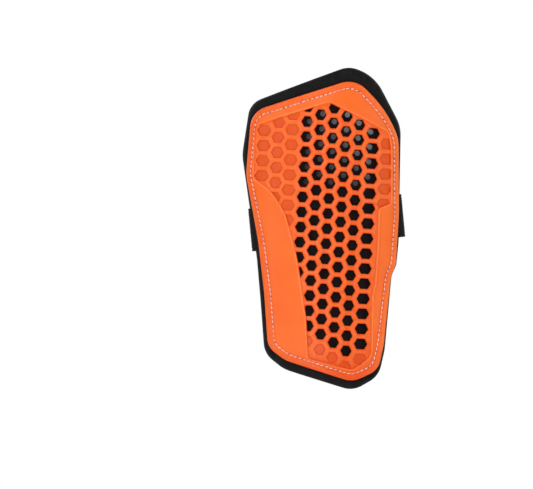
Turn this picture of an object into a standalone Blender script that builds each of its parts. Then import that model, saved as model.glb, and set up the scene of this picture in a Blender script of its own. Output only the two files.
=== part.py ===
"""A slip-in shin guard for ball sports, upright as it is worn on the right leg.

X runs across the leg, Z up the leg, and Y from the front of the guard to the calf strap.
The origin is the middle of the pad's inner face, where it rests on the shin.
Lengths are in millimetres up to the point where they become vertices, which are in metres.
"""

import math

import bmesh
import bpy
from mathutils import Matrix, Vector
from mathutils.geometry import delaunay_2d_cdt

MM = 0.001
GAP = 0.3  # clearance between pieces that touch

# Curvature: the guard is part of a drum round the shin, and flares a little towards both ends.
SHELL_RADIUS = 80.0
FLARE_RADIUS = 800.0

# Layers, front to back.
SHELL_THICKNESS = 2.0
FABRIC_THICKNESS = 0.6
FOAM_THICKNESS = 4.6
PANEL_RISE = 1.2  # how far the moulded inner panel stands behind the pad's rim
FIELD_SINK = 0.5  # the honeycomb lies this far below the shell's border
BLIND_SINK = 1.2  # depth of the cells that don't go through

SHELL_BACK = SHELL_THICKNESS
FOAM_FRONT = SHELL_BACK + GAP
FOAM_RIM_BACK = FOAM_FRONT + FOAM_THICKNESS
LINING_RIM_FRONT = FOAM_RIM_BACK + GAP
LINING_RIM_BACK = LINING_RIM_FRONT + FABRIC_THICKNESS
PAD_DEPTH = LINING_RIM_BACK + PANEL_RISE  # from the shell's face to the face on the shin

# Outlines seen from the front, clockwise: x, z and the radius that rounds the corner.
SHELL_OUTLINE = (
    (-50.2, 81.4, 15),
    (21.8, 103.8, 17),
    (44.0, 82.0, 80),
    (52.3, 62.5, 26),
    (52.6, 10.0, 150),
    (50.4, -24.5, 10),
    (46.9, -32.8, 12),
    (41.6, -80.5, 45),
    (37.6, -97.8, 13),
    (19.5, -105.7, 16),
    (-26.5, -91.0, 22),
    (-38.8, -82.2, 13),
    (-41.2, -46.0, 120),
    (-45.4, -9.0, 200),
    (-54.0, 38.0, 32),
)
PAD_OUTLINE = (
    (-50.8, 87.2, 13),
    (17.5, 112.0, 17),
    (35.0, 105.5, 30),
    (53.6, 71.5, 24),
    (52.8, 25.0, 80),
    (52.2, -8.0, 90),
    (50.5, -24.8, 10),
    (47.0, -32.5, 12),
    (42.0, -84.0, 45),
    (37.8, -101.8, 16),
    (20.0, -111.5, 16),
    (-27.5, -96.7, 24),
    (-40.7, -86.4, 15),
    (-43.4, -50.0, 120),
    (-46.0, -20.0, 150),
    (-56.3, 52.0, 30),
)
PANEL_OUTLINE = (
    (-42.4, 71.7, 9),
    (22.0, 94.9, 11),
    (41.0, 60.2, 12),
    (40.9, -8.0, 60),
    (39.0, -22.0, 10),
    (35.6, -31.0, 12),
    (31.0, -84.0, 30),
    (28.0, -94.5, 9),
    (16.0, -99.3, 10),
    (-23.0, -84.5, 12),
    (-30.2, -77.0, 9),
    (-34.5, -20.0, 90),
    (-43.8, 50.0, 25),
)
FIELD_OUTLINE = (
    (-47.5, 71.8, 3),
    (3.9, 87.4, 4),
    (45.0, 67.2, 7),
    (46.8, 55.0, 20),
    (46.8, 17.8, 2),
    (38.2, 14.4, 3),
    (37.4, -10.0, 60),
    (35.6, -37.0, 10),
    (33.6, -46.0, 10),
    (32.8, -88.0, 8),
    (20.0, -97.5, 8),
    (-11.0, -89.5, 3),
    (-12.4, -62.0, 90),
    (-18.6, -20.0, 90),
    (-26.5, 10.0, 30),
    (-36.0, 26.0, 40),
    (-48.6, 35.7, 3),
)

# The honeycomb: cells with flats above and below, in columns that lean with the crown.
CELL_ORIGIN = (5.3, 52.2)
CELL_LEAN = math.radians(3.5)
COLUMN_PITCH = 9.09
ROW_PITCH = 10.43
CELL_HEIGHT = 6.95
CELL_WIDTH = 7.6
WIDE_CELL = 9.1
CELL_SLANT = 0.28  # how far a slanted side leans in, as a share of the cell's height
# Column number, first row, last row, cell width, and how far its cells lie across and above
# their even places.
OPEN_COLUMNS = (
    (-2, -3, 8, CELL_WIDTH, 0, 0),
    (-1, -3, 11, CELL_WIDTH, 0, 0),
    (0, -3, 12, CELL_WIDTH, 0, 0),
    (1, -3, 12, CELL_WIDTH, 0, 0),
    (2, -2, 13, CELL_WIDTH, 0, 0),
    (3, -2, 12, WIDE_CELL, 0.8, 0),
)
BLIND_COLUMNS = (
    (-5, -2, 1, WIDE_CELL, -2.1, -2.3),
    (-4, -2, 3, 8.4, -1.2, -1.5),
    (-3, -3, 4, WIDE_CELL, -0.8, -0.9),
    (-1, 12, 12, CELL_WIDTH, 0, 0),
    (0, 13, 13, CELL_WIDTH, 0, 0),
    (1, 13, 13, CELL_WIDTH, 0, 0),
    (2, 14, 14, CELL_WIDTH, 0, 0),
    (3, 13, 13, WIDE_CELL, 0.8, 0),
    (4, -1, 2, WIDE_CELL, 2.0, -1.5),
)
# How far each open column's pockets lie to the right of and above its cells' even places.
POCKET_SHIFTS = {
    -2: (1.7, 0.3),
    -1: (1.3, 0.9),
    0: (0.6, 1.2),
    1: (0.3, 1.3),
    2: (-0.3, 1.4),
    3: (-0.9, 1.2),
}

CELL_MARGIN = 0.4  # a cell cut short ends this far inside the border
VENT_RADIUS = 2.1  # the round holes of the pad, behind the webs between the open cells
POCKET_RADIUS = 2.0  # the foam's round pockets behind the open cells above this height
POCKET_LOWEST = 30.0

# Stitching: round the shell, and one row across the strap's end that holds the hook patch.
STITCH_INSET = 4.6
SIDE_INSET = 3.1  # the thread runs nearer the edge where the sides turn back
SIDE_START, SIDE_FULL = 36.0, 50.0
THREAD_RADIUS = 0.35
ROW_PLACE = 26.5
ROW_LENGTH = 26.0

# The elastic strap. It crosses the back from the inner edge (-X) and ends on the outer side's short tab.
# Its length runs along +X and rises a little; its places are measured along that length.
STRAP_WIDTH = 30.0
STRAP_THICKNESS = 1.4
STRAP_RISE = math.radians(5.5)
STRAP_HEIGHT = 4.2  # height of its middle line where it passes the origin
STRAP_FOLD = -51.5  # where it turns round the pad's inner edge
TAB_FOLD = 56.3  # where the tab turns round the pad's outer edge
STRAP_LEVEL = 22.2  # inner face of strap and tab behind the origin
TUCK = 10.0  # length held between shell and pad
TUCK_STEPS = (0, 0.3, 0.65, 1)  # where along it the webbing bends with the shell
POCKET_OVERRUN = 2.0  # how far the foam's pocket cutters stand out past the fold
TAB_END = 6.0
JOIN = 3.0  # where the free end starts to peel
FREE_END = 30.2
HOOK_START = 6.0
HOOK_END = 33.5
HOOK_THICKNESS = 0.8
HOOK_INSET = 1.0  # the patch is this much narrower than the strap on each side

FACET_ACROSS = 4.6  # spacing of the blank areas' points across the curve
FACET_UP = 12.0  # and along the flare


def rounded(corners, step=5.0):
    """The outline through these corners, each rounded by its radius, with a point about every step."""
    points = []
    for i, (x, z, radius) in enumerate(corners):
        corner = Vector((x, z))
        before = (Vector(corners[i - 1][:2]) - corner).normalized()
        after = (Vector(corners[(i + 1) % len(corners)][:2]) - corner).normalized()
        half = before.angle(after) / 2
        centre = corner + (before + after).normalized() * radius / math.sin(half)
        start = corner + before * radius / math.tan(half)
        if points:
            points += between(points[-1], start, step)
        arm = start - centre
        turn = arm.angle_signed(corner + after * radius / math.tan(half) - centre)
        chords = max(1, math.ceil(abs(turn) * radius / step))
        for k in range(chords + 1):
            swing = Matrix.Rotation(-turn * k / chords, 2) @ arm
            points.append(tuple(centre + swing))
    return points + between(points[-1], Vector(points[0]), step)


def between(start, end, step):
    """Points that divide the straight run from start to end."""
    run = Vector(end) - Vector(start)
    parts = max(1, math.ceil(run.length / step))
    return [tuple(Vector(start) + run * k / parts) for k in range(1, parts)]


def inset(points, distance):
    """The closed clockwise outline moved inwards by this distance."""
    moved = []
    for i, point in enumerate(points):
        along = Vector(points[(i + 1) % len(points)]) - Vector(points[i - 1])
        inward = Vector((along.y, -along.x)).normalized()
        moved.append(tuple(Vector(point) + inward * distance))
    return moved


def face_y(x, z, depth):
    """How far back the surface lies that is this depth behind the shell's face."""
    drum = math.sqrt((SHELL_RADIUS - depth) ** 2 - x**2)
    return SHELL_RADIUS - drum - z * z / (2 * FLARE_RADIUS) - PAD_DEPTH


def material(name, colour, roughness, metallic=0.0):
    made = bpy.data.materials.new(name)
    made.use_nodes = True
    shader = made.node_tree.nodes["Principled BSDF"]
    shader.inputs["Base Color"].default_value = (*colour, 1.0)
    shader.inputs["Roughness"].default_value = roughness
    shader.inputs["Metallic"].default_value = metallic
    return made


def inside(point, loop):
    """Whether the point lies within the closed loop."""
    x, z = point
    crossings = 0
    for (x0, z0), (x1, z1) in zip(loop, loop[1:] + loop[:1]):
        if (z0 > z) != (z1 > z) and x < x0 + (x1 - x0) * (z - z0) / (z1 - z0):
            crossings += 1
    return crossings % 2 == 1


def spread_points(outline, holes, steps):
    """Points across the blank areas, so that the surface can bend there."""
    near = [point for loop in [outline] + holes + steps for point in loop]
    spread = []
    low_x, high_x = min(p[0] for p in outline), max(p[0] for p in outline)
    low_z, high_z = min(p[1] for p in outline), max(p[1] for p in outline)
    for i in range(math.ceil((high_x - low_x) / FACET_ACROSS)):
        for j in range(math.ceil((high_z - low_z) / FACET_UP)):
            stagger = FACET_UP / 2 * (i % 2)
            point = (low_x + i * FACET_ACROSS, low_z + j * FACET_UP + stagger)
            clear = all(math.dist(point, other) > FACET_ACROSS / 2 for other in near)
            in_hole = any(inside(point, hole) for hole in holes)
            if inside(point, outline) and clear and not in_hole:
                spread.append(point)
    return spread


def add_side(plate, outline, holes, depth, steps):
    """One face of a plate. Each step is a loop inside which the face lies at another depth.

    Returns the rows of vertices round the outline and round each hole, for the side walls."""
    step_loops = [loop for loop, _ in steps]
    loops = [outline] + holes + step_loops
    points, edges = [], []
    for loop in loops:
        first = len(points)
        points += loop
        edges += [(first + k, first + (k + 1) % len(loop)) for k in range(len(loop))]
    points += spread_points(outline, holes, step_loops)
    found = delaunay_2d_cdt([Vector(p) for p in points], edges, [], 1, 1e-4)
    places = [tuple(v) for v in found[0]]

    def depth_at(point):
        level = depth
        for loop, sunk in steps:
            if inside(point, loop):
                level = sunk
        return level

    made = {}

    def vertex(k, level):
        if (k, level) not in made:
            x, z = places[k]
            made[k, level] = plate.verts.new(Vector((x, face_y(x, z, level), z)) * MM)
        return made[k, level]

    index = {original: k for k, originals in enumerate(found[3]) for original in originals}
    loop_of = {}
    first = 0
    for number, loop in enumerate(loops):
        for k in range(len(loop)):
            loop_of[index[first + k]] = number
        first += len(loop)
    for triangle in found[2]:
        owners = {loop_of.get(k) for k in triangle}
        if len(owners) == 1 and owners <= set(range(1, len(holes) + 1)):
            continue
        middle = tuple(sum(places[k][axis] for k in triangle) / 3 for axis in (0, 1))
        level = depth_at(middle)
        plate.faces.new([vertex(k, level) for k in triangle])

    rows = []
    first = 0
    for number, loop in enumerate(loops):
        ring = [index[first + k] for k in range(len(loop))]
        first += len(loop)
        if number <= len(holes):
            level = depth if number == 0 else depth_at(loop[0])
            rows.append([vertex(k, level) for k in ring])
        else:
            here = steps[number - len(holes) - 1]
            outer = depth
            for other, sunk in steps:
                if other is not here[0] and inside(loop[0], other):
                    outer = sunk
            join_rings(plate, [vertex(k, outer) for k in ring], [vertex(k, here[1]) for k in ring])
    return rows


def join_rings(plate, ring, other):
    for k in range(len(ring)):
        after = (k + 1) % len(ring)
        plate.faces.new((ring[k], ring[after], other[after], other[k]))


def add_object(name, plate, collection, finish=None):
    """Closes the bmesh as a named object with its normals outwards."""
    bmesh.ops.triangulate(plate, faces=plate.faces[:])
    bmesh.ops.recalc_face_normals(plate, faces=plate.faces[:])
    mesh = bpy.data.meshes.new(name)
    plate.to_mesh(mesh)
    plate.free()
    obj = bpy.data.objects.new(name, mesh)
    collection.objects.link(obj)
    if finish:
        mesh.materials.append(finish)
        mesh.shade_smooth()
        mesh.set_sharp_from_angle(angle=math.radians(35))
    else:
        obj.hide_render = True
        obj.display_type = "WIRE"
    return obj


def bent_plate(name, outline, holes, front, back, collection, finish, front_steps=(), back_steps=()):
    """A plate between two depths, bent round the drum. Its edges run straight back."""
    plate = bmesh.new()
    front_rows = add_side(plate, outline, holes, front, list(front_steps))
    back_rows = add_side(plate, outline, holes, back, list(back_steps))
    for ring, other in zip(front_rows, back_rows):
        join_rings(plate, ring, other)
    return add_object(name, plate, collection, finish)


def cell_centre(column, row):
    """A cell's even place. Every other column lies half a cell lower."""
    down = (row + (column % 2) / 2) * ROW_PITCH
    across = column * COLUMN_PITCH
    return (
        CELL_ORIGIN[0] + across * math.cos(CELL_LEAN) - down * math.sin(CELL_LEAN),
        CELL_ORIGIN[1] - across * math.sin(CELL_LEAN) - down * math.cos(CELL_LEAN),
    )


def cell_outline(centre, width):
    half, flat, tall = width / 2, width / 2 - CELL_HEIGHT * CELL_SLANT, CELL_HEIGHT / 2
    corners = ((half, 0), (flat, tall), (-flat, tall), (-half, 0), (-flat, -tall), (flat, -tall))
    turn = Matrix.Rotation(-CELL_LEAN, 2)
    return [tuple(Vector(centre) + turn @ Vector(corner)) for corner in corners]


def clip(loop, limit):
    """The part of a cell inside the limit, for a limit that crosses it in one straight line."""
    kept = []
    for (x0, z0), (x1, z1) in zip(loop, loop[1:] + loop[:1]):
        starts, ends = inside((x0, z0), limit), inside((x1, z1), limit)
        if starts:
            kept.append((x0, z0))
        if starts != ends:
            low, high = 0.0, 1.0
            for _ in range(30):
                middle = (low + high) / 2
                point = (x0 + (x1 - x0) * middle, z0 + (z1 - z0) * middle)
                if inside(point, limit) == starts:
                    low = middle
                else:
                    high = middle
            kept.append(point)
    return kept


def cells(columns, limit):
    loops = []
    for column, first, last, width, across, above in columns:
        for row in range(first, last + 1):
            x, z = cell_centre(column, row)
            loop = clip(cell_outline((x + across, z + above), width), limit)
            if len(loop) >= 3:
                loops.append(loop)
    return loops


def hexagon(x, z, radius):
    angles = [math.tau * k / 6 for k in range(6)]
    return [(x + radius * math.cos(a), z + radius * math.sin(a)) for a in angles]


def vents():
    """The pad's round holes, one for each open cell except the top row's, where three cells' webs meet."""
    loops = []
    for column, first, last, _, _, _ in OPEN_COLUMNS:
        for row in range(first + 1, last + 1):
            beside = (column - 1, row if column % 2 else row - 1)
            three = (cell_centre(column, row), cell_centre(column, row - 1), cell_centre(*beside))
            x, z = (sum(values) / 3 for values in zip(*three))
            loops.append(hexagon(x, z, VENT_RADIUS))
    return loops


def pockets():
    """The foam's round pockets behind the upper open cells, a little above each cell's middle."""
    loops = []
    for column, first, last, _, _, _ in OPEN_COLUMNS:
        across, above = POCKET_SHIFTS[column]
        for row in range(first + 1, last + 1):
            x, z = cell_centre(column, row)
            if z > POCKET_LOWEST:
                loops.append(hexagon(x + across, z + above, POCKET_RADIUS))
    return loops


def on_face(depth):
    """A section point that lies at this depth behind the shell's face."""
    return lambda x, z: face_y(x, z, depth)


def at_level(y):
    """A section point that lies this far behind the origin."""
    return lambda x, z: y


def strip(name, section, half_width, collection, finish=None):
    """A length of webbing. The section's points are (place along the strap, rule for how far back)."""
    made = bmesh.new()
    along = Vector((math.cos(STRAP_RISE), math.sin(STRAP_RISE)))
    over = Vector((-along.y, along.x))
    rows = []
    for station in (-1, -0.5, 0, 0.5, 1):
        row = []
        for place, rule in section:
            x, z = Vector((0, STRAP_HEIGHT)) + along * place + over * half_width * station
            row.append(made.verts.new(Vector((x, rule(x, z), z)) * MM))
        rows.append(row)
    for row, after in zip(rows, rows[1:]):
        join_rings(made, row, after)
    made.faces.new(rows[0])
    made.faces.new(rows[-1])
    return add_object(name, made, collection, finish)


def bar(start, end, low_start, low_end, thickness):
    """The section of a flat length whose inner face runs straight from one level to another."""
    return [
        (start, at_level(low_start)),
        (end, at_level(low_end)),
        (end, at_level(low_end + thickness)),
        (start, at_level(low_start + thickness)),
    ]


def anchor(fold, side):
    """The section of webbing that comes out between shell and pad and turns back round the pad."""
    inner = fold - side * STRAP_THICKNESS
    front, back = FOAM_FRONT, FOAM_FRONT + STRAP_THICKNESS
    tucked = [fold - side * TUCK * share for share in TUCK_STEPS]
    outside = [(place, on_face(front)) for place in tucked]
    within = [(place, on_face(back)) for place in reversed([inner] + tucked[1:])]
    end = at_level(STRAP_LEVEL - GAP)
    return outside + within + [(inner, end), (fold, end)]


def make_shell(parts, finish):
    field = rounded(FIELD_OUTLINE, 6.0)
    limit = inset(field, CELL_MARGIN)
    sunk = [(field, FIELD_SINK)] + [(cell, BLIND_SINK) for cell in cells(BLIND_COLUMNS, limit)]
    holes = cells(OPEN_COLUMNS, limit)
    bent_plate("shell", rounded(SHELL_OUTLINE), holes, 0, SHELL_BACK, parts, finish, front_steps=sunk)


def make_pad(parts, cutters, foam, fabric):
    """Foam and lining, both pierced by the vents and both stepping out to the panel on the shin."""
    outline, panel = rounded(PAD_OUTLINE), rounded(PANEL_OUTLINE)
    foam_panel_back = FOAM_RIM_BACK + PANEL_RISE
    foam_steps = [(panel, foam_panel_back)]
    holes = vents() + pockets()
    pad = bent_plate(
        "foam_pad", outline, holes, FOAM_FRONT, FOAM_RIM_BACK, parts, foam, back_steps=foam_steps
    )
    hollow = [(inset(panel, -GAP), foam_panel_back + GAP)]
    step = [(inset(panel, -GAP - FABRIC_THICKNESS), PAD_DEPTH)]
    bent_plate("lining", outline, vents(), LINING_RIM_FRONT, LINING_RIM_BACK, parts, fabric, hollow, step)

    floor = FOAM_FRONT + STRAP_THICKNESS + GAP
    for name, fold, side in (("strap", STRAP_FOLD, -1), ("tab", TAB_FOLD, 1)):
        length = POCKET_OVERRUN + TUCK + GAP
        places = [fold + side * (POCKET_OVERRUN - length * share) for share in TUCK_STEPS]
        section = [(place, on_face(0)) for place in places]
        section += [(place, on_face(floor)) for place in reversed(places)]
        pocket = strip(name + "_pocket", section, STRAP_WIDTH / 2 + GAP, cutters)
        pocket_cut = pad.modifiers.new(pocket.name, "BOOLEAN")
        pocket_cut.operation = "DIFFERENCE"
        pocket_cut.object = pocket


def make_strap(parts, elastic, hooks, thread):
    """The strap in three lengths that move on each other, the tab in two, and the hook patch."""
    half = STRAP_WIDTH / 2
    strip("strap_anchor", anchor(STRAP_FOLD, -1), half, parts, elastic)
    strip("tab_anchor", anchor(TAB_FOLD, 1), half, parts, elastic)
    strip("tab", bar(TAB_END, TAB_FOLD, STRAP_LEVEL, STRAP_LEVEL, STRAP_THICKNESS), half, parts, elastic)

    hook_level = STRAP_LEVEL + STRAP_THICKNESS + GAP
    end_level = hook_level + HOOK_THICKNESS + GAP
    strip(
        "strap",
        bar(STRAP_FOLD, JOIN - GAP, STRAP_LEVEL, end_level, STRAP_THICKNESS),
        half,
        parts,
        elastic,
    )
    strip("strap_end", bar(JOIN, FREE_END, end_level, end_level, STRAP_THICKNESS), half, parts, elastic)
    strip(
        "hook_patch",
        bar(HOOK_START, HOOK_END, hook_level, hook_level, HOOK_THICKNESS),
        half - HOOK_INSET,
        parts,
        hooks,
    )
    row_level = end_level + STRAP_THICKNESS + GAP
    row = bar(ROW_PLACE - THREAD_RADIUS, ROW_PLACE + THREAD_RADIUS, row_level, row_level, THREAD_RADIUS)
    strip("hook_stitching", row, ROW_LENGTH / 2, parts, thread)


def make_stitching(parts, thread):
    """The thread round the shell, laid on its face as one closed run."""
    curve = bpy.data.curves.new("edge_stitching", "CURVE")
    curve.dimensions = "3D"
    curve.bevel_depth = THREAD_RADIUS * MM
    curve.bevel_resolution = 0
    edge = rounded(SHELL_OUTLINE)
    route = []
    for outer, inner in zip(inset(edge, SIDE_INSET), inset(edge, STITCH_INSET)):
        share = min(1.0, max(0.0, (abs(outer[0]) - SIDE_START) / (SIDE_FULL - SIDE_START)))
        route.append(tuple(Vector(inner).lerp(Vector(outer), share)))
    spline = curve.splines.new("POLY")
    spline.points.add(len(route) - 1)
    for point, (x, z) in zip(spline.points, route):
        point.co = (x * MM, face_y(x, z, -THREAD_RADIUS - GAP) * MM, z * MM, 1.0)
    spline.use_cyclic_u = True
    curve.materials.append(thread)
    parts.objects.link(bpy.data.objects.new("edge_stitching", curve))


def main():
    for obj in list(bpy.data.objects):
        bpy.data.objects.remove(obj)
    parts = bpy.data.collections.new("shin_guard")
    cutters = bpy.data.collections.new("cutters")
    for collection in (parts, cutters):
        bpy.context.scene.collection.children.link(collection)

    shell_plastic = material("shell_plastic", (0.98, 0.16, 0.02), 0.38)
    black_foam = material("black_foam", (0.02, 0.02, 0.022), 0.85)
    black_fabric = material("black_fabric", (0.012, 0.013, 0.015), 0.9)
    black_elastic = material("black_elastic", (0.008, 0.008, 0.01), 0.8)
    black_hooks = material("black_hooks", (0.01, 0.01, 0.01), 0.6)
    dark_thread = material("dark_thread", (0.01, 0.01, 0.01), 0.5)
    pale_thread = material("pale_thread", (0.9, 0.6, 0.6), 0.6)

    make_shell(parts, shell_plastic)
    make_pad(parts, cutters, black_foam, black_fabric)
    make_strap(parts, black_elastic, black_hooks, dark_thread)
    make_stitching(parts, pale_thread)


main()
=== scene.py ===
"""The finished look of a slip-in shin guard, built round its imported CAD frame."""

import math
import random

import bmesh
import bpy
import numpy as np
from mathutils import Matrix, Vector
from mathutils.geometry import delaunay_2d_cdt
from mathutils.kdtree import KDTree


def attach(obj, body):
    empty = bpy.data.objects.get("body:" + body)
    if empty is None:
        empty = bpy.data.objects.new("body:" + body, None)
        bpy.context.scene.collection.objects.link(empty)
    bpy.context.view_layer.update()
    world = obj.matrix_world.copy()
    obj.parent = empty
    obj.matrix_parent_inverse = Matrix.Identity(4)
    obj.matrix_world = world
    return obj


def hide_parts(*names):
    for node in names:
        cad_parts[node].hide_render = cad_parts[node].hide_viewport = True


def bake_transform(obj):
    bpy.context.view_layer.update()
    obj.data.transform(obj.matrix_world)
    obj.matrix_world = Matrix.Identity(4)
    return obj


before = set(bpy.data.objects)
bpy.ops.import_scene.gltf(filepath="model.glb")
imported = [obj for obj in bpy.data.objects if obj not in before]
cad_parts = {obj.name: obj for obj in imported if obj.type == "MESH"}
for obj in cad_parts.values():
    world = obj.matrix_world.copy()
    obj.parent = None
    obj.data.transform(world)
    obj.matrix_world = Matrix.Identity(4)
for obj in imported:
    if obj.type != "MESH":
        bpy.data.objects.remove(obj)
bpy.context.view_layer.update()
MM = 0.001

# In millimetres, as in the CAD, but for the cells and the vents, which are a little larger here.
SHELL_RADIUS, FLARE_RADIUS, PAD_DEPTH = 80.0, 800.0, 9.0
SHELL_BACK, FOAM_FRONT, FOAM_RIM_BACK, PANEL_RISE = 2.0, 2.3, 6.9, 1.2
LINING_FRONT, LINING_BACK = 7.0, 7.8
FIELD_SINK, BLIND_SINK = 0.5, 0.7

# Outlines, clockwise from the front: each corner's x, z and rounding.
SHELL_OUTLINE = (
    (-50.2, 81.4, 15), (21.8, 103.8, 17), (44.0, 82.0, 80), (52.3, 62.5, 26), (52.6, 10.0, 150),
    (50.4, -24.5, 10), (46.9, -32.8, 12), (41.6, -80.5, 45), (37.6, -97.8, 13),
    (19.5, -105.7, 16), (-26.5, -91.0, 22), (-38.8, -82.2, 13), (-41.2, -46.0, 120),
    (-45.4, -9.0, 200), (-54.0, 38.0, 32),
)
PAD_OUTLINE = (
    (-50.8, 87.2, 13), (17.5, 112.0, 17), (35.0, 105.5, 30), (53.6, 71.5, 24), (52.8, 25.0, 80),
    (52.2, -8.0, 90), (50.5, -24.8, 10), (47.0, -32.5, 12), (42.0, -84.0, 45), (37.8, -101.8, 16),
    (20.0, -111.5, 16), (-27.5, -96.7, 24), (-40.7, -86.4, 15), (-43.4, -50.0, 120),
    (-46.0, -20.0, 150), (-56.3, 52.0, 30),
)
PANEL_OUTLINE = (
    (-42.4, 71.7, 9), (22.0, 94.9, 11), (41.0, 60.2, 12), (40.9, -8.0, 60), (39.0, -22.0, 10),
    (35.6, -31.0, 12), (31.0, -84.0, 30), (28.0, -94.5, 9), (16.0, -99.3, 10), (-23.0, -84.5, 12),
    (-30.2, -77.0, 9), (-34.5, -20.0, 90), (-43.8, 50.0, 25),
)
FIELD_OUTLINE = (
    (-47.5, 71.8, 3), (3.9, 87.4, 4), (45.0, 67.2, 7), (46.8, 55.0, 20), (46.8, 17.8, 2),
    (38.2, 14.4, 3), (37.4, -10.0, 60), (35.6, -37.0, 10), (33.6, -46.0, 10), (32.8, -88.0, 8),
    (20.0, -97.5, 8), (-11.0, -89.5, 3), (-12.4, -62.0, 90), (-18.6, -20.0, 90),
    (-26.5, 10.0, 30), (-36.0, 26.0, 40), (-48.6, 35.7, 3),
)

CELL_ORIGIN = (5.3, 52.2)
CELL_LEAN = math.radians(3.5)
COLUMN_PITCH, ROW_PITCH = 9.09, 10.43
CELL_HEIGHT, CELL_WIDTH, WIDE_CELL, CELL_SLANT = 7.2, 7.85, 9.3, 0.28
# Each column's number, first and last row, its cells' width, and how far they stand right and up.
OPEN_COLUMNS = (
    (-2, -3, 8, CELL_WIDTH, 0, 0), (-1, -3, 11, CELL_WIDTH, 0, 0), (0, -3, 12, CELL_WIDTH, 0, 0),
    (1, -3, 12, CELL_WIDTH, 0, 0), (2, -2, 13, CELL_WIDTH, 0, 0), (3, -2, 12, WIDE_CELL, 0.8, 0),
)
BLIND_COLUMNS = (
    (-5, -2, 1, WIDE_CELL, -2.1, -2.3), (-4, -2, 3, 8.4, -1.2, -1.5),
    (-3, -3, 4, WIDE_CELL, -0.8, -0.9), (-1, 12, 12, CELL_WIDTH, 0, 0),
    (0, 13, 13, CELL_WIDTH, 0, 0), (1, 13, 13, CELL_WIDTH, 0, 0), (2, 14, 14, CELL_WIDTH, 0, 0),
    (3, 13, 13, WIDE_CELL, 0.8, 0), (4, -1, 3, WIDE_CELL, 2.0, -1.5),
)
CELL_MARGIN = 0.4  # no cell comes nearer than this to the field's edge
CELL_ROUNDING = 0.4
CELL_SIDE_POINTS = 3
HOLE_DRAFT = 0.05  # the open cells narrow by this much towards the shell's back
VENT_RADIUS, VENT_FRONT_RADIUS = 2.25, 1.8  # the vents narrow towards the shell
DIMPLE_RADIUS, DIMPLE_DEPTH = 3.5, 0.65
POCKET_RADIUS, POCKET_LOWEST = 1.95, 30.0
# How far each column's pockets stand right and up of their cells.
POCKET_SHIFTS = {
    -2: (1.7, 0.3), -1: (1.3, 0.9), 0: (0.6, 1.2), 1: (0.3, 1.3), 2: (-0.3, 1.4), 3: (-0.9, 1.2),
}
POCKET_LATE = (-2, 0)  # the columns whose first cell is cut too short for a pocket
CAVITY_DEPTH = 4.8  # where the foam's face lies behind the field
STITCH_INSET, SIDE_INSET = 4.6, 3.1  # the thread's place, and where the sides turn back
SIDE_START, SIDE_FULL = 36.0, 50.0

# The relief of the shell's face: heights and depths, then places and widths.
SHELL_ROUND = 1.0
THREAD_SINK, THREAD_WIDTH = 0.28, 0.75
SWELL_RISE, SWELL_PLACE, SWELL_WIDTH = 0.1, 1.6, 0.7
BEAD_RISE, BEAD_PLACE, BEAD_WIDTH = 0.42, -0.6, 0.45
WEB_RISE, WEB_REACH = 0.3, 2.2
LIP = 0.5
GATE_RISE, GATE_RADIUS, GATE_WIDTH = 0.5, 1.7, 0.45

# The pad's rounded rim, and the places pressed into its lining.
RIM_ROUND, RIM_RISE = 2.6, 0.8
RIM_BULGE = ((0.12, 0.1), (0.35, 0.35), (0.6, 0.45), (0.85, 0.3))
LINING_ROUND, LINING_ROUND_SHARE = 1.3, 0.55
CHANNEL_DEPTH, CHANNEL_PLACE, CHANNEL_WIDTH = 0.75, -1.0, 0.75
CREASE_DEPTH, CREASE_PLACE, CREASE_WIDTH = 0.28, 3.3, 0.4

# The webbing has places along it (s) and across it (v), and levels behind the shell (y).
STRAP_WIDTH, STRAP_THICKNESS = 30.0, 1.4
STRAP_RISE = math.radians(5.5)
STRAP_HEIGHT, STRAP_FOLD, TAB_FOLD, STRAP_LEVEL = 4.2, -51.5, 56.3, 22.2
TUCK, SEAM, TAB_END, JOIN, FREE_END = 10.0, -22.0, 6.0, 3.0, 30.2
HOOK_START, HOOK_END, HOOK_THICKNESS, HOOK_INSET = 6.0, 33.5, 0.8, 1.0
GAP = 0.3
MIDDLE = STRAP_THICKNESS / 2
HOOK_LEVEL = STRAP_LEVEL + STRAP_THICKNESS + GAP
END_LEVEL = HOOK_LEVEL + HOOK_THICKNESS + GAP
RIB_PITCH, RIB_RISE, GROOVE_SINK = 1.5, 0.13, -0.16
SELVEDGE_WIDTH, SELVEDGE_GROOVE = 1.3, 2.0
BAND_POINTS, BAND_CROWDING, BAND_ROUND = 121, 1.15, 0.7
FOLD_ROUND, FOLD_STEP, FREE_ROUND, FREE_STEP = 2.6, 2.2, 6.0, 1.6
END_CURVE = 0.035  # the free end's corners stand this share back

EDGE_PITCH, EDGE_STITCH, EDGE_SLANT, EDGE_THREAD = 3.2, 2.6, 0.16, 0.36
SHADED_SHARE, SHADED_LENGTH = 0.4, 0.75
HOOK_ROW, HOOK_ROW_HALF = 26.5, 13.4
HOOK_PITCH, HOOK_STITCH, HOOK_THREAD = 2.9, 2.2, 0.3
BATCH = 3000  # points measured at once


# ---------------------------------------------------------------- outlines and distances
def between(start, end, step):
    """The points between these two, no more than a step apart."""
    run = Vector(end) - Vector(start)
    parts = max(1, math.ceil(run.length / step))
    return [tuple(Vector(start) + run * k / parts) for k in range(1, parts)]


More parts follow.
